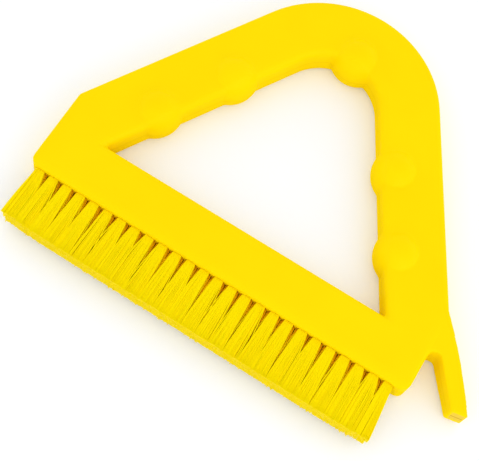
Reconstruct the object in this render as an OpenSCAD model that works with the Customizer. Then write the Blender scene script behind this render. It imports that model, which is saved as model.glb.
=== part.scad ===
// Triangular grout brush, lying on its side. Millimetres.
// X runs along the bristle block, Y from the bristles to the round top, and Z is up from the table.
// The origin is under the middle of the block, on the flat underside.

/* [Block] */
// Length of the bristle block
block_l = 227; // [189:1:273]
// Height of the block, from the bristle face to the hand opening
block_h = 28.8; // [26:0.2:34]
// Thickness of the block and of the arms
thick = 20; // [20:0.5:24]
// How far up each face of the block starts to fall towards the bristles
front_run = 6; // [5:0.5:12]
// How far each face has fallen where it meets the bristle face
front_drop = 2; // [1.5:0.5:3.5]
// Height of the block's upright ends, from the bristle face to the arms
end_h = 47.4; // [38:0.2:56]

// Rounding of the block's edges at the hand opening
block_r = 3; // [2:0.5:3.5]
// Rounding of the upper and lower edges of the block's ends
end_r = 2.5; // [1:0.5:2.5]
// Rounding, seen from above, of the block's corners beside the bristles
corner_r = 5; // [3:0.5:6]

/* [Arms] */
// Angle between the block and each arm, in degrees
arm_angle = 60; // [55:1:64]
// Width of the arms and of the round top
arm_w = 33.6; // [28:0.2:40]
// Outer radius of the round top
apex_r = 62.5; // [54:0.5:72]
// Rounding of the outer edges
edge_r = 3; // [3:0.5:4]
// Rounding of the inner edges
inner_r = 4; // [4:0.5:5]

/* [Grip bulges] */
// Radius of the balls that the bulges are part of
grip_r = 14.5; // [12.5:0.5:16]
// Depth of a ball from its centre to its flattened front
grip_front = 12; // [10:0.5:12.5]
// Radius of the flattened front
grip_front_r = 17; // [15:0.5:22]
// How deep the centres of the four arm bulges lie in the arms
grip_sink = 7.6; // [6:0.2:9]
// How deep the centre of the top bulge lies in the round top
grip_top_sink = 4.8; // [4:0.2:7]
// Distance of the upper arm bulges from the start of the arms
grip_upper = 38; // [32:1:44]
// Distance of the lower arm bulges from the start of the arms
grip_lower = 85; // [72:1:88]

/* [Leg] */
// Thickness of the leg at its tip
leg_t = 16; // [12:0.5:18]
// How far the leg's tip stands out past the end of the block
leg_out = 32.3; // [26:0.1:38]
// Height of the leg's tip above the bristle face
leg_tip_h = 5.8; // [2:0.2:10]
// Width of the leg's tip
leg_tip_w = 8.9; // [7:0.1:10]
// How far the leg's outer side bows out from straight
leg_bow = 1.2; // [0.6:0.1:2.4]
// Radius of the rounded top of the notch between the leg and the block
notch_r = 3.8; // [3:0.1:4.4]
// Height of the notch's top above the bristle face
notch_h = 26.8; // [22:0.2:30]

/* [Bristles] */
// Number of tufts in the upper row; the lower row has one fewer, set between them
tuft_count = 26; // [20:1:26]
// Length of the bristles outside the block
trim = 31.5; // [24:0.5:38]
// Diameter of the drilled holes
hole_d = 5.8; // [4.8:0.1:6]
// Depth of the drilled holes
hole_depth = 11; // [9:0.5:13]
// Distance between the two rows of holes
row_gap = 5.6; // [4.8:0.1:5.8]
// Distance from the left end of the block to the first hole
margin_left = 7; // [6:0.5:12]
// Distance from the right end of the block to the last hole
margin_right = 10; // [6:0.5:14]
// How far the outermost tufts of the upper row lean out at their tips
end_flare = 1; // [0:0.2:3]
// Gap around a tuft in its hole
tuft_gap = 0.05; // [0.03:0.01:0.08]
// Thickness of the metal anchors
anchor_t = 0.4; // [0.3:0.05:0.6]
// Height of the metal anchors along the hole
anchor_h = 2.4; // [1.6:0.1:3]

/* [Hidden] */
$fn = 64;
half = block_l / 2;
// Distance of the arms' outer sides from the middle of the bristle face
arm_reach = half * sin(arm_angle) + end_h * cos(arm_angle);
apex_y = (arm_reach - apex_r) / cos(arm_angle);
apex_in = apex_r - arm_w;
front_r = round(50 * (front_run * front_run / front_drop + front_drop)) / 100;
pitch = (block_l - margin_left - margin_right) / (tuft_count - 1);
tip = [half + leg_out, leg_tip_h];
tip_in = tip - leg_tip_w * [cos(10), sin(10)];
notch = [half + notch_r, notch_h - notch_r];
tuft_r = hole_d / 2 - tuft_gap;
strand_root = 0.25 * tuft_r;
strand_tip = 0.115 * pitch;
anchor_y = hole_depth - anchor_h - 1.2;

function two(n) = n < 10 ? str("0", n) : str(n);
function tuft_name(row, i) = str("tuft_", row, "_", two(i + 1));
function tufts(row) = row == "upper" ? tuft_count : tuft_count - 1;
function hole_x(row, i) = -half + margin_left + (i + (row == "upper" ? 0 : 0.5)) * pitch;
function hole_z(row) = thick / 2 + (row == "upper" ? 0.5 : -0.5) * row_gap;

// Direction, from the centre c of a circle, of the point where a line through p touches it
function touch(p, c, r, side) =
    let(d = p - c)
    atan2(d[1], d[0]) + side * acos(r / norm(d));

// Moves the origin from the bristle face to the middle of the block.
module placed() {
    translate([0, -block_h / 2, 0])
        children();
}

// Section of an arm: its hand-opening side is on the left, its outer side on the right.
module arm_section() {
    translate([apex_in + inner_r, 0])
        square([arm_w - inner_r - edge_r, thick]);
    translate([apex_in, inner_r])
        square([arm_w / 2, thick - 2 * inner_r]);
    translate([apex_in + arm_w / 2, edge_r])
        square([arm_w / 2, thick - 2 * edge_r]);
    for (y = [inner_r, thick - inner_r])
        translate([apex_in + inner_r, y])
            circle(inner_r);
    for (y = [edge_r, thick - edge_r])
        translate([apex_r - edge_r, y])
            circle(edge_r);
}

// Section of the block: the bristle face is on the left, the hand-opening side on the right.
module block_section() {
    intersection() {
        square([front_run, thick]);
        translate([front_run, thick - front_r])
            circle(front_r);
        translate([front_run, front_r])
            circle(front_r);
    }
    translate([front_run, 0])
        square([block_h - front_run - block_r, thick]);
    translate([front_run, block_r])
        square([block_h - front_run, thick - 2 * block_r]);
    for (y = [block_r, thick - block_r])
        translate([block_h - block_r, y])
            circle(block_r);
}

// Section from the middle of the brush to its right end, where it rounds the upper and lower edges.
module end_section() {
    square([half - end_r, thick]);
    translate([0, end_r])
        square([half, thick - 2 * end_r]);
    for (y = [end_r, thick - end_r])
        translate([half - end_r, y])
            circle(end_r);
}

// One arm and its half of the round top, which runs a little past the middle.
module arm() {
    translate([0, apex_y, 0])
        rotate([0, 0, 90 - arm_angle]) {
            rotate([90, 0, 0])
                linear_extrude(apex_y / sin(arm_angle))
                    arm_section();
            rotate_extrude(angle = arm_angle + 5)
                arm_section();
        }
}

// The right half of the bristle block.
module block() {
    translate([-1, 0, 0])
        rotate([90, 0, 90])
            linear_extrude(half + 2)
                block_section();
}

// What the rounding takes away from the block's right corner beside the bristles.
module corner_waste() {
    difference() {
        translate([half - corner_r, -1, -1])
            cube([corner_r + 1, corner_r + 1, thick + 2]);
        translate([half - corner_r, corner_r, -2])
            cylinder(r = corner_r, h = thick + 4);
    }
}

// The right half of the triangle, cut off and rounded at its end and cut off at the middle.
module half_triangle() {
    intersection() {
        difference() {
            union() {
                block();
                arm();
            }
            corner_waste();
        }
        translate([0, apex_y + apex_r + 1, 0])
            rotate([90, 0, 0])
                linear_extrude(apex_y + apex_r + 1)
                    end_section();
    }
}

// A ball with a flattened front that faces -X. The underside of the brush cuts it off.
module bulge() {
    intersection() {
        translate([0, 0, thick / 2])
            rotate([0, 90, 0])
                sphere(grip_r);
        translate([grip_front_r - grip_front, 0, thick / 2])
            sphere(grip_front_r);
        translate([-grip_r, -grip_r, 0])
            cube(2 * grip_r + 1);
    }
}

module bulges() {
    translate([0, apex_y + apex_in + grip_top_sink, 0])
        rotate([0, 0, 90])
            bulge();
    for (side = [0, 1], along = [grip_upper, grip_lower])
        mirror([side, 0, 0])
            translate([0, apex_y, 0])
                rotate([0, 0, 90 - arm_angle])
                    translate([apex_in + grip_sink, -along, 0])
                        bulge();
}

// The leg, which thins towards its tip, and the web that joins it to the block beside the notch.
module leg() {
    start = [half, end_h];
    chord = tip - start;
    bow_r = norm(chord) * norm(chord) / (8 * leg_bow) + leg_bow / 2;
    outward = [-chord[1], chord[0]] / norm(chord);
    from = touch(tip_in, notch, notch_r, 1);
    round_top = [for (i = [0:16]) let(a = from + (180 - from) * i / 16) notch + notch_r * [cos(a), sin(a)]];
    intersection() {
        linear_extrude(thick)
            polygon(concat(
                [[half - 12, notch[1]], [half - 12, end_h], [half + 6, end_h + 9]],
                [tip + (tip - tip_in), tip_in],
                round_top
            ));
        translate((start + tip) / 2 - outward * (bow_r - leg_bow))
            cylinder(r = bow_r, h = thick, $fn = 200);
        translate(start)
            rotate([90, 0, atan2(chord[1], chord[0])])
                linear_extrude(4 * arm_w, center = true)
                    leg_profile(norm(chord));
    }
}

// Side view of the leg: full thickness up to the block's corner, then thinner towards the tip.
module leg_profile(length) {
    thin = (thick - leg_t) / 2;
    polygon([
        [-length, 0], [0, 0], [length, thin], [1.5 * length, thin],
        [1.5 * length, thick - thin], [length, thick - thin], [0, thick], [-length, thick]
    ]);
}

module holes() {
    for (row = ["upper", "lower"], i = [0:tufts(row) - 1])
        translate([hole_x(row, i), -1, hole_z(row)])
            rotate([-90, 0, 0])
                cylinder(d = hole_d, h = hole_depth + 1);
}

// One three-sided strand, from a point inside its tuft to its tip.
module strand(from, to) {
    ring = [for (a = [90, 210, 330]) [cos(a), 0, sin(a)]];
    polyhedron(
        points = concat([for (p = ring) from + strand_root * p], [for (p = ring) to + strand_tip * p]),
        faces = [[0, 1, 2], [5, 4, 3], [0, 3, 1], [1, 3, 4], [1, 4, 2], [2, 4, 5], [2, 5, 0], [0, 5, 3]]
    );
}

// A tuft: its packed end in the hole, slotted for the anchor, and eight strands that fan out from it.
module tuft(row, i) {
    side = (2 * i - tufts(row) + 1) / (tufts(row) - 1);
    lean = (end_flare + (row == "upper" ? 0 : pitch / 2)) * pow(side, 5);
    fan = pitch / 2 - strand_tip - 0.15;
    color("yellow")
        placed()
            translate([hole_x(row, i), 0, hole_z(row)]) {
                difference() {
                    rotate([-90, 22.5, 0])
                        cylinder(r = tuft_r, h = hole_depth - tuft_gap, $fn = 8);
                    translate([-hole_d, anchor_y - tuft_gap, -anchor_t / 2 - tuft_gap])
                        cube([2 * hole_d, anchor_h + 2 * tuft_gap, anchor_t + 2 * tuft_gap]);
                }
                for (x = [-3, -1, 1, 3], z = [-1, 1]) {
                    sway = 0.15 * sin(97 * i + 53 * x + 31 * z + (row == "upper" ? 0 : 140));
                    strand(
                        [x / 3 * 0.69 * tuft_r, strand_root, z * 0.4 * tuft_r],
                        [x / 3 * fan + lean + sway, -trim, z * 0.25 * row_gap + sway]
                    );
                }
            }
}

// The flat metal anchors at the bottom of one row's holes, which the bristles are folded over.
module anchors(row) {
    width = 2 * tuft_r - anchor_t / 4;
    color("silver")
        placed()
            for (i = [0:tufts(row) - 1])
                translate([hole_x(row, i) - width / 2, anchor_y, hole_z(row) - anchor_t / 2])
                    cube([width, anchor_h, anchor_t]);
}

module handle() {
    color("gold")
        placed()
            difference() {
                union() {
                    half_triangle();
                    mirror([1, 0, 0])
                        half_triangle();
                    bulges();
                    leg();
                }
                holes();
            }
}

handle();
anchors("upper");  // anchors_upper_row
anchors("lower");  // anchors_lower_row
for (row = ["upper", "lower"], i = [0:tufts(row) - 1])
    tuft(row, i);
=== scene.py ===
"""Looks of the triangular grout brush: a moulded yellow handle and two rows of yellow bristle tufts."""

import math

import bpy
import numpy as np
from mathutils import Matrix, Vector


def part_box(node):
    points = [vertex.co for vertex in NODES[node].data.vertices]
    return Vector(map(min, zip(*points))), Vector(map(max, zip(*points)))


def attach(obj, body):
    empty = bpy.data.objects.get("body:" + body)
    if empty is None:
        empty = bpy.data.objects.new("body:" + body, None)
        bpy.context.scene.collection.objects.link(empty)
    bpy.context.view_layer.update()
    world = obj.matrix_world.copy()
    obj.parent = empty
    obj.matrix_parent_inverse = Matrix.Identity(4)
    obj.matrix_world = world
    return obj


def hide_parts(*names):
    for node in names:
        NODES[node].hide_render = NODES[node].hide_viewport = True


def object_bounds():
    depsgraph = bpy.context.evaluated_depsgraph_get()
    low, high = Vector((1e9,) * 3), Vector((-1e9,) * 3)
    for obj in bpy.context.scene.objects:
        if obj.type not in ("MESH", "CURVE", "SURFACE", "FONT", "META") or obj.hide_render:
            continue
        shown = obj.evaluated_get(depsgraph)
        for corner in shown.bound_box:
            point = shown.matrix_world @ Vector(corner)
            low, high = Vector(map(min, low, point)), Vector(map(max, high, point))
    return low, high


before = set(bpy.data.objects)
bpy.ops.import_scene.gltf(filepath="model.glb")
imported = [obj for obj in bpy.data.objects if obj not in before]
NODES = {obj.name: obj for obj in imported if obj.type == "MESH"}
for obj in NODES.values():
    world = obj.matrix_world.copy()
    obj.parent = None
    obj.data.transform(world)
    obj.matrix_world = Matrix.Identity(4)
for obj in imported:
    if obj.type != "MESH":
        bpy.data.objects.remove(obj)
CAD_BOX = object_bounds()

# The brush's sizes and places are in millimetres, and become metres where Blender takes them.
MM = 0.001
BRISTLE_FACE_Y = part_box("handle")[0].y / MM
TRIM = BRISTLE_FACE_Y - CAD_BOX[0].y / MM
# Middle of the block's thickness
MID_Z = 10.0

# Tufts
TUFTS = {row: sum(name.startswith(f"tuft_{row}_") for name in NODES) for row in ("upper", "lower")}
# Radius of a tuft's packed end, which fills its hole
PLUG_R = 2.85
# Height of the whole brush at its tips, half of it for each row
FIELD = 11.4
# The trim grows by this from the middle to the right end, and shrinks by as much to the left one.
TRIM_SLANT = 0.5
# The tufts at both ends are worn shorter by up to this.
END_WEAR = 0.8
# How far outwards the tips of the end tufts are moved from their holes
END_FLARE = {"left": -1.2, "right": 1.4}
# Where the gap on each side of the upper tufts closes, as a share of the trim, from the left. They
# are judged in the photograph.
UPPER_GAPS = [0.5, 0.46, 0.68, 0.73, 0.58, 0.9, 0.82, 0.5, 0.42, 0.88, 0.65, 0.8, 0.45, 0.78]
UPPER_GAPS += [0.9, 0.93, 0.93, 0.85, 0.65, 0.9, 0.39, 0.76, 0.95, 0.62, 0.35, 0.37, 0.5]
# The lower tufts hardly show, so their gaps are drawn by chance between these.
LOWER_GAPS = (0.4, 0.95)

# Filaments
FILAMENT_R = 0.3
FILAMENT_SIDES = 5
FILAMENT_RINGS = 8
LAYERS = 9
# Width that one column of filaments takes up at the tips
COLUMN = 0.56
# How far a filament is drawn into the hole, and how far out of it the tuft has its square form
IN_HOLE = 2.0
SQUARED = 0.6
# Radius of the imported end, measured to the middles of its outermost filaments
PACKED = PLUG_R - FILAMENT_R
# Uneven cutting: the middle length below the trim, its spread, and how much further a few stand out
CUT_BELOW = 0.3
CUT_SPREAD = 0.12
STANDING_OUT = 0.7
# Spread of how far the filaments wave and lean sideways, and lean up or down
WAVE = 0.04
LEAN = 0.06
LEAN_Z = 0.02
# Sideways reach of the loose filaments that lean into a gap
LOOSE_REACH = (0.6, 2.6)

# Handle: size of the new faces, and how often they are smoothed
VOXEL = 0.7
SMOOTHING_STEPS = 16
# Outer corner of the leg's flat end
LEG_TIP_X = CAD_BOX[1].x / MM
LEG_TIP_Y = BRISTLE_FACE_Y + 5.8

# Camera, solved from the photograph's straight edges and the pitch of the tufts
VIEW_AZIMUTH, VIEW_TILT, VIEW_ROLL = -14.22, 21.88, -18.08
VIEW_OFFSET = (14.97, 30.11, 637.33)
# The solution is measured from this point, under the middle of the bristle face.
VIEW_ORIGIN = (0, BRISTLE_FACE_Y, -3.1)
SENSOR_W = 36.0
LENS = 91.05

# Studio, in metres and watts
FLOOR_HALF = 3.0
FLOOR_Z = -0.00005
LAMP_PLACE = (0.8, -0.4, 0.65)
LAMP_AIM = (0, 0.03, 0)
LAMP_SIZE = 0.9
LAMP_POWER = 1.4


def new_material(name):
    """A new node material with its tree and its main shader."""
    mat = bpy.data.materials.new(name)
    mat.use_nodes = True
    tree = mat.node_tree
    return mat, tree, tree.nodes["Principled BSDF"]


def add(tree, kind, **values):
    """A new node. Each value sets the input of that name, or else the node's property."""
    node = tree.nodes.new(kind)
    for key, value in values.items():
        if key in node.inputs:
            node.inputs[key].default_value = value
        else:
            setattr(node, key, value)
    return node


def noise(tree, **values):
    """Noise fixed to the object, in metres."""
    node = add(tree, "ShaderNodeTexNoise", **values)
    place = add(tree, "ShaderNodeTexCoord").outputs["Object"]
    tree.links.new(place, node.inputs["Vector"])
    return node.outputs["Fac"]


def attribute(tree, name):
    """A value that the mesh carries at each of its points."""
    return add(tree, "ShaderNodeAttribute", attribute_name=name).outputs["Fac"]


def ramp(tree, value, low, high):
    """A colour between two, each given as (the value it stands at, colour)."""
    node = add(tree, "ShaderNodeValToRGB")
    for element, (place, colour) in zip(node.color_ramp.elements, (low, high)):
        element.position = place
        element.color = (*colour, 1)
    tree.links.new(value, node.inputs["Fac"])
    return node.outputs["Color"]


def mixed(tree, factor, colour, other):
    """The colour, changed to the fixed colour other as far as factor says."""
    node = add(tree, "ShaderNodeMix", data_type="RGBA")
    tree.links.new(factor, node.inputs["Factor"])
    tree.links.new(colour, node.inputs[6])
    node.inputs[7].default_value = (*other, 1)
    return node.outputs[2]


def remapped(tree, value, span, to=(0.0, 1.0), kind="LINEAR"):
    """The value, with the two ends of span changed to those of to, and held beyond them."""
    node = add(tree, "ShaderNodeMapRange", interpolation_type=kind)
    names = ("From Min", "From Max", "To Min", "To Max")
    for name, number in zip(names, (*span, *to)):
        node.inputs[name].default_value = number
    tree.links.new(value, node.inputs["Value"])
    return node.outputs["Result"]


def product(tree, value, other):
    node = add(tree, "ShaderNodeMath", operation="MULTIPLY")
    tree.links.new(value, node.inputs[0])
    tree.links.new(other, node.inputs[1])
    return node.outputs[0]


def between(tree, value, low, high, soft):
    """1 where value lies between low and high, falling to 0 over soft on each side."""
    rise = remapped(tree, value, ((low - soft) * MM, low * MM), kind="SMOOTHSTEP")
    fall = remapped(tree, value, ((high + soft) * MM, high * MM), kind="SMOOTHSTEP")
    return product(tree, rise, fall)


def fine_bump(tree, height, strength, distance):
    """A normal that follows the height, with distance in millimetres."""
    node = add(tree, "ShaderNodeBump", Strength=strength, Distance=distance * MM)
    tree.links.new(height, node.inputs["Height"])
    return node.outputs["Normal"]


def leg_end(tree, place):
    """1 on the flat end of the leg, a little in from its corners, and 0 elsewhere."""
    near_tip = between(tree, place["Y"], LEG_TIP_Y - 11.4, LEG_TIP_Y + 0.4, 0.4)
    across = between(tree, place["X"], LEG_TIP_X - 6.8, LEG_TIP_X - 1.3, 1)
    return product(tree, near_tip, across)


def parting_line(tree, place, at_end):
    """Line where the two halves of the mould met, halfway up the side walls. It is faint all
    round and plain to see only on the end of the leg."""
    middle = between(tree, place["Z"], MID_Z - 0.25, MID_Z + 0.25, 0.25)
    return product(tree, middle, remapped(tree, at_end, (0.0, 1.0), (0.12, 0.9)))


def handle_plastic():
    """Bright yellow moulded plastic with a fine grain, a parting line and a painted sheen on the leg end.
    """
    mat, tree, shader = new_material("handle_plastic")
    link = tree.links.new
    cloud = noise(tree, Scale=28.0, Detail=4.0, Roughness=0.5)
    grain = noise(tree, Scale=2600.0, Detail=3.0, Roughness=0.6)
    body = ramp(tree, cloud, (0.3, (0.96, 0.70, 0.0003)), (0.7, (0.98, 0.725, 0.0006)))

    parts = add(tree, "ShaderNodeSeparateXYZ")
    link(add(tree, "ShaderNodeTexCoord").outputs["Object"], parts.inputs[0])
    place = parts.outputs
    at_end = leg_end(tree, place)
    # The leg's end is painted paler and grainy on both sides of the parting line, a painted sheen.
    halfway_up = between(tree, place["Z"], 6, 15, 2)
    painted_sheen = product(tree, product(tree, at_end, halfway_up), grain)
    sheened_body = mixed(tree, painted_sheen, body, (0.68, 0.46, 0.12))
    seam = parting_line(tree, place, at_end)
    link(mixed(tree, seam, sheened_body, (0.5, 0.24, 0.0)), shader.inputs["Base Color"])

    link(remapped(tree, cloud, (0.35, 0.65), (0.42, 0.5)), shader.inputs["Roughness"])
    normal = fine_bump(tree, grain, 0.12, 0.04)
    link(normal, shader.inputs["Normal"])
    link(normal, shader.inputs["Coat Normal"])
    # The thin coat carries the whole sheen, which keeps the walls' colour at a grazing angle.
    shader.inputs["Specular IOR Level"].default_value = 0.0
    shader.inputs["Coat Weight"].default_value = 0.05
    shader.inputs["Coat Roughness"].default_value = 0.35
    return mat


def bristle_plastic():
    """Yellow filaments. Their tone differs at random from one to the next, and deep in the brush they are
    painted darker orange, a painted shade.
    """
    mat, tree, shader = new_material("bristle_filament")
    link = tree.links.new
    body = ramp(tree, attribute(tree, "shade"), (0.0, (1.0, 0.765, 0.0006)), (1.0, (1.0, 0.82, 0.001)))
    # Filaments deep in the brush are painted darker orange as painted shade.
    link(mixed(tree, attribute(tree, "painted_shade"), body, (1.0, 0.5, 0.0)), shader.inputs["Base Color"])
    grain = noise(tree, Scale=1500.0, Detail=2.0)
    link(fine_bump(tree, grain, 0.1, 0.03), shader.inputs["Normal"])
    shader.inputs["Roughness"].default_value = 0.45
    shader.inputs["Specular IOR Level"].default_value = 0.15
    shader.inputs["Specular Tint"].default_value = (1.0, 0.8, 0.0, 1)
    return mat


def anchor_metal():
    """Plain flat wire."""
    mat, tree, shader = new_material("anchor_metal")
    grain = noise(tree, Scale=900.0, Detail=3.0)
    body = ramp(tree, grain, (0.3, (0.55, 0.55, 0.54)), (0.7, (0.68, 0.68, 0.66)))
    tree.links.new(body, shader.inputs["Base Color"])
    shader.inputs["Metallic"].default_value = 1.0
    shader.inputs["Roughness"].default_value = 0.35
    return mat


def show(name, data):
    """A new object in the scene for the mesh, lamp or camera data."""
    thing = bpy.data.objects.new(name, data)
    bpy.context.scene.collection.objects.link(thing)
    return thing


def plug_centre(node):
    """Middle (x, z) of a tuft's packed end, in millimetres, read from the CAD node."""
    points = np.array([v.co for v in node.data.vertices]) / MM
    packed = points[points[:, 1] > BRISTLE_FACE_Y + 2]
    return (packed.min(0) + packed.max(0))[[0, 2]] / 2


def tubes(name, paths, shades, painted_shades):
    """One mesh of round filaments along the given paths (filament, ring, xyz), in millimetres."""
    count, rings, _ = paths.shape
    along = np.gradient(paths, axis=1)
    along /= np.linalg.norm(along, axis=2, keepdims=True)
    side = np.cross(along, [0.0, 0.0, 1.0])
    side /= np.linalg.norm(side, axis=2, keepdims=True)
    up = np.cross(side, along)
    turn = np.linspace(0, 2 * np.pi, FILAMENT_SIDES, endpoint=False)
    circle = np.cos(turn)[:, None] * side[:, :, None] + np.sin(turn)[:, None] * up[:, :, None]
    points = paths[:, :, None] + FILAMENT_R * circle
    index = np.arange(count * rings * FILAMENT_SIDES).reshape(count, rings, FILAMENT_SIDES)
    turned = np.roll(index, -1, axis=2)
    walls = np.stack([index[:, :-1], turned[:, :-1], turned[:, 1:], index[:, 1:]], -1).reshape(-1, 4)
    ends = [tuple(ring[::-1]) for ring in index[:, 0]] + [tuple(ring) for ring in index[:, -1]]
    mesh = bpy.data.meshes.new(name)
    mesh.from_pydata((points.reshape(-1, 3) * MM).tolist(), [], walls.tolist() + ends)
    mesh.polygons.foreach_set("use_smooth", [True] * len(walls) + [False] * len(ends))
    for key, values in (("shade", shades), ("painted_shade", painted_shades)):
        layer = mesh.attributes.new(key, "FLOAT", "POINT")
        spread = np.broadcast_to(values, (count, rings)).ravel()
        layer.data.foreach_set("value", np.repeat(spread, FILAMENT_SIDES).astype(np.float32))
    mesh.update()
    return show(name, mesh)


def soft_min(a, b, width):
    """The smaller of a and b, with a rounded change from one to the other."""
    near = np.clip(0.5 + 0.5 * (b - a) / width, 0, 1)
    return b * (1 - near) + a * near - width * near * (1 - near)


def filament_grid(rng, columns, upper):
    """Places of one tuft's filaments in its square section: across it and up it, from -1 to 1,
    and showing, which is 1 on the brush's outer side and -1 where the two rows meet."""
    # The layers lie closest together on the side that shows.
    showing = 1 - 2 * np.linspace(0, 1, LAYERS) ** 1.3
    across, showing = np.meshgrid(np.linspace(-1, 1, columns), showing)
    # Every other layer is moved by half a filament.
    across = across + np.where(np.arange(LAYERS) % 2, 0.5, -0.5)[:, None] / columns
    across, showing = across.ravel(), showing.ravel()
    across = np.clip(across + rng.uniform(-0.2, 0.2, across.size) * 2 / columns, -1, 1)
    height = (showing if upper else -showing) + rng.uniform(-0.02, 0.02, across.size)
    return across, height, showing


def ring_places(rng, count, trim):
    """How far out of the block each ring of each filament lies."""
    length = trim - CUT_BELOW + rng.normal(0, CUT_SPREAD, count)
    length = length + STANDING_OUT * (rng.uniform(size=count) < 0.03)
    # One ring inside the hole, and the rest evenly spaced from where the tuft has its square form
    even = SQUARED + (length[:, None] - SQUARED) * np.linspace(0, 1, FILAMENT_RINGS - 1)
    return np.concatenate([np.full((count, 1), -IN_HOLE), even], axis=1)


def half_widths(across, showing, share, leaving, widths, closing):
    """Half the tuft's width along each filament. It grows until the gap beside it closes."""
    width = np.where(across < 0, *widths)[:, None] - FILAMENT_R + 0.05
    closing = np.where(across < 0, *closing)
    at_end = closing >= 1
    # The gap closes sooner in the layers further in.
    sooner = np.where(at_end, 1, 0.15 + 0.85 * np.clip((showing - 0.1) / 0.6, 0, 1))
    reach = (closing * sooner)[:, None]
    # The layers inside the brush spread as soon as they leave the hole, and floor the gaps.
    hidden = np.where(at_end, 0, np.clip((0.25 - showing) / 0.3, 0, 1))
    root = PACKED + (1.2 * hidden - 0.2 * (1 - hidden))[:, None] * leaving
    return root + (width - root) * soft_min(share / reach, 1.0, 0.15)


def loose_sway(rng, across, showing, share):
    """Sideways move of the few filaments that lean into the gap beside their tuft."""
    loose = (np.abs(across) > 0.6) & (showing > 0.3) & (rng.uniform(size=across.size) < 0.1)
    reach = rng.uniform(*LOOSE_REACH, across.size)
    sway = np.where(loose, np.sign(across) * reach, 0)[:, None]
    return sway * np.sin(share * math.pi / 2) * (1 - 0.4 * share)


def tuft_paths(rng, centre, widths, closing, trim):
    """Paths of one tuft's filaments, and how much painted shade each part of them gets, more the deeper
    inside the brush it lies.
    widths are the tuft's at the tips, on the left and right of its hole's centre, and closing
    says how far along the trim, as a share, the gaps on its left and right close. At the
    brush's own ends closing is 1."""
    upper = centre[1] > MID_Z
    across, height, showing = filament_grid(rng, round(sum(widths) / COLUMN), upper)
    each = (across.size, 1)
    out = ring_places(rng, across.size, trim)
    outside = np.clip(out, 0, None)
    share = np.clip(out / trim, 0, 1)
    leaving = 1 - np.exp(-outside / 0.2)

    half_x = half_widths(across, showing, share, leaving, widths, closing)
    half_z = PACKED + (FIELD / 4 - FILAMENT_R - PACKED) * share
    # In the hole the square section is pressed to a disc.
    disc_x = across * np.sqrt(np.clip(1 - height * height / 2, 0, 1))
    disc_z = height * np.sqrt(1 - across * across / 2)
    x = ((1 - leaving) * disc_x[:, None] + leaving * across[:, None]) * half_x
    z = ((1 - leaving) * disc_z[:, None] + leaving * height[:, None]) * half_z

    x = x + rng.normal(0, WAVE, each) * np.sin(share * rng.uniform(3, 7, each))
    x = x + rng.normal(0, LEAN, each) * share
    tip_z = MID_Z + (FIELD / 4 if upper else -FIELD / 4)
    z = z + (tip_z - centre[1]) * share + rng.normal(0, LEAN_Z, each) * share
    # The layers mix towards the tips, least where they show.
    mixing = 0.5 * np.clip(0.9 - np.abs(showing), 0, 0.5)[:, None]
    z = z + rng.uniform(-1, 1, each) * mixing * outside / 12
    x = x + loose_sway(rng, across, showing, share)

    # The brush's own end sides show, so they aren't deep inside it and get no painted shade.
    at_end = np.where(across < 0, *closing) >= 1
    inside = np.clip((0.6 - showing) / 0.6, 0, 1) * np.where(at_end, 1 - np.abs(across), 1)
    # Painted shade: darker deep inside the brush, fading out towards the tips.
    painted_shade = inside[:, None] * (1 - share)
    return np.stack([centre[0] + x, BRISTLE_FACE_Y - out, centre[1] + z], -1), painted_shade


def bristles(material):
    """All tufts. At the tips each row fills the brush's whole length."""
    first, last = (plug_centre(NODES[f"tuft_upper_{i:02d}"])[0] for i in (1, TUFTS["upper"]))
    pitch = (last - first) / (TUFTS["upper"] - 1)
    for number, (row, count) in enumerate(TUFTS.items()):
        names = [f"tuft_{row}_{i + 1:02d}" for i in range(count)]
        centres = [plug_centre(NODES[name]) for name in names]
        holes = np.array([c[0] for c in centres])
        # From -1 at the left end of the row to 1 at the right end
        side = np.linspace(-1, 1, count)
        # The lower row starts half a pitch further in, and leans out to nearly the same place.
        flare = np.where(side < 0, END_FLARE["left"], END_FLARE["right"]) + 0.8 * (holes[0] - first)
        tips = holes + flare * side**5
        edges = np.concatenate([[tips[0] - pitch / 2], (tips[1:] + tips[:-1]) / 2, [tips[-1] + pitch / 2]])
        rng = np.random.default_rng(40 + number)
        gaps = UPPER_GAPS[:] if row == "upper" else rng.uniform(*LOWER_GAPS, count + 1)
        # The brush's two ends stay straight from the hole to the tips.
        gaps[0] = gaps[-1] = 1.0
        for i, name in enumerate(names):
            widths = (holes[i] - edges[i], edges[i + 1] - holes[i])
            trim = TRIM + TRIM_SLANT * side[i] - END_WEAR * side[i] ** 12
            paths, painted_shades = tuft_paths(rng, centres[i], widths, (gaps[i], gaps[i + 1]), trim)
            shades = np.clip(rng.normal(0.6, 0.2, (len(paths), 1)), 0.1, 1)
            piece = tubes(name.replace("tuft", "bristles"), paths, shades, painted_shades)
            piece.data.materials.append(material)
            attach(piece, "root")
            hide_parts(name)


def remeshed(node, name):
    """A copy of the node's mesh in even small faces."""
    rough = show(name, node.data.copy())
    weld = rough.modifiers.new("weld", "WELD")
    weld.merge_threshold = 0.002 * MM
    remesh = rough.modifiers.new("remesh", "REMESH")
    remesh.mode = "VOXEL"
    remesh.voxel_size = VOXEL * MM
    seen = rough.evaluated_get(bpy.context.evaluated_depsgraph_get())
    mesh = bpy.data.meshes.new_from_object(seen)
    bpy.data.objects.remove(rough)
    return mesh


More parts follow.
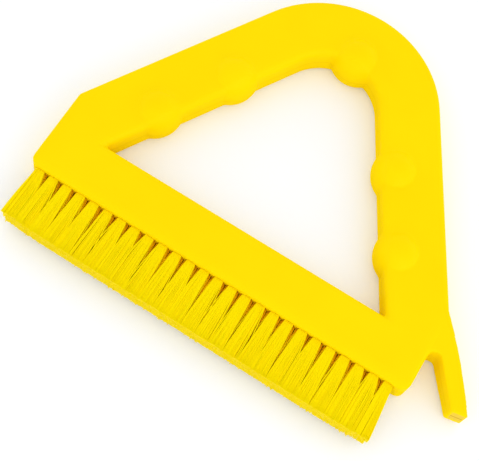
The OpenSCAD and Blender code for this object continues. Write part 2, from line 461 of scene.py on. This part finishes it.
def soften(mesh):
    """Smooths the mesh without shrinking it, by steps that pull its points together and push
    them apart in turn."""
    points = np.zeros(len(mesh.vertices) * 3)
    mesh.vertices.foreach_get("co", points)
    points = points.reshape(-1, 3)
    edges = np.zeros(len(mesh.edges) * 2, int)
    mesh.edges.foreach_get("vertices", edges)
    edges = edges.reshape(-1, 2)
    degree = np.bincount(edges.ravel(), minlength=len(points))[:, None]
    for step in range(SMOOTHING_STEPS):
        total = np.zeros_like(points)
        for axis in range(3):
            total[:, axis] += np.bincount(edges[:, 0], points[edges[:, 1], axis], len(points))
            total[:, axis] += np.bincount(edges[:, 1], points[edges[:, 0], axis], len(points))
        points += (0.6 if step % 2 == 0 else -0.5) * (total / degree - points)
    mesh.vertices.foreach_set("co", points.ravel())
    mesh.polygons.foreach_set("use_smooth", [True] * len(mesh.polygons))
    mesh.update()


def smooth_handle(material):
    """The handle with its creases and edges softened, as a mould leaves them."""
    mesh = remeshed(NODES["handle"], "handle_moulding")
    soften(mesh)
    mesh.materials.clear()
    mesh.materials.append(material)
    piece = show("handle_moulding", mesh)
    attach(piece, "root")
    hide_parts("handle")


def finish_anchors(material):
    """The anchors keep their CAD form."""
    for row in TUFTS:
        node = NODES[f"anchors_{row}_row"]
        node.data.materials.clear()
        node.data.materials.append(material)


def floor():
    """White paper, just below the brush. It glows for the camera only, a little bluish, which
    takes back part of the brush's yellow reflection on it."""
    signs = ((-1, -1), (1, -1), (1, 1), (-1, 1))
    corners = [(x * FLOOR_HALF, y * FLOOR_HALF, FLOOR_Z) for x, y in signs]
    mesh = bpy.data.meshes.new("floor")
    mesh.from_pydata(corners, [], [(0, 1, 2, 3)])
    mat, tree, shader = new_material("floor_paper")
    link = tree.links.new
    fibres = noise(tree, Scale=60.0, Detail=2.0)
    body = ramp(tree, fibres, (0.0, (0.945, 0.945, 0.945)), (1.0, (0.955, 0.955, 0.955)))
    link(body, shader.inputs["Base Color"])
    shader.inputs["Roughness"].default_value = 0.9
    shader.inputs["Specular IOR Level"].default_value = 0.1
    shader.inputs["Emission Color"].default_value = (0.4, 0.6, 1.0, 1)
    seen = add(tree, "ShaderNodeLightPath").outputs["Is Camera Ray"]
    link(remapped(tree, seen, (0.0, 1.0), (0.0, 0.12)), shader.inputs["Emission Strength"])
    mesh.materials.append(mat)
    show("floor", mesh)


def light():
    """A white tent, brighter all round the horizon than overhead, and one weak soft lamp in
    front. The camera and reflections see the tent plain white."""
    world = bpy.data.worlds.new("studio")
    bpy.context.scene.world = world
    world.use_nodes = True
    tree = world.node_tree
    link = tree.links.new
    back = tree.nodes["Background"]
    back.inputs["Color"].default_value = (1, 1, 1, 1)
    direction = add(tree, "ShaderNodeSeparateXYZ")
    link(add(tree, "ShaderNodeTexCoord").outputs["Generated"], direction.inputs[0])
    tent = remapped(tree, direction.outputs["Z"], (0.0, 0.45), (1.8, 0.95), "SMOOTHSTEP")
    path = add(tree, "ShaderNodeLightPath")
    plain = add(tree, "ShaderNodeMath", operation="MAXIMUM")
    link(path.outputs["Is Camera Ray"], plain.inputs[0])
    link(path.outputs["Is Glossy Ray"], plain.inputs[1])
    level = add(tree, "ShaderNodeMapRange")
    level.inputs["To Max"].default_value = 1.0
    link(plain.outputs[0], level.inputs["Value"])
    link(tent, level.inputs["To Min"])
    link(level.outputs["Result"], back.inputs["Strength"])

    lamp = bpy.data.lights.new("softbox", "AREA")
    lamp.shape = "DISK"
    lamp.size = LAMP_SIZE
    lamp.energy = LAMP_POWER
    softbox = show("softbox", lamp)
    softbox.location = LAMP_PLACE
    aim = Vector(LAMP_AIM) - softbox.location
    softbox.rotation_euler = aim.to_track_quat("-Z", "Y").to_euler()


def camera():
    """The photograph's view."""
    turn = Matrix.Rotation(math.radians(VIEW_AZIMUTH), 3, "Z")
    lean = Matrix.Rotation(math.radians(-VIEW_TILT), 3, "X")
    twist = Matrix.Rotation(math.radians(VIEW_ROLL), 3, "Z")
    back = (twist @ lean @ turn).transposed()
    data = bpy.data.cameras.new("camera")
    data.sensor_width = SENSOR_W
    data.lens = LENS
    cam = show("camera", data)
    eye = back @ Vector(VIEW_OFFSET) + Vector(VIEW_ORIGIN)
    cam.matrix_world = Matrix.Translation(eye * MM) @ back.to_4x4()
    bpy.context.scene.camera = cam


smooth_handle(handle_plastic())
finish_anchors(anchor_metal())
bristles(bristle_plastic())
floor()
light()
camera()
bpy.context.scene.view_settings.view_transform = "Standard"
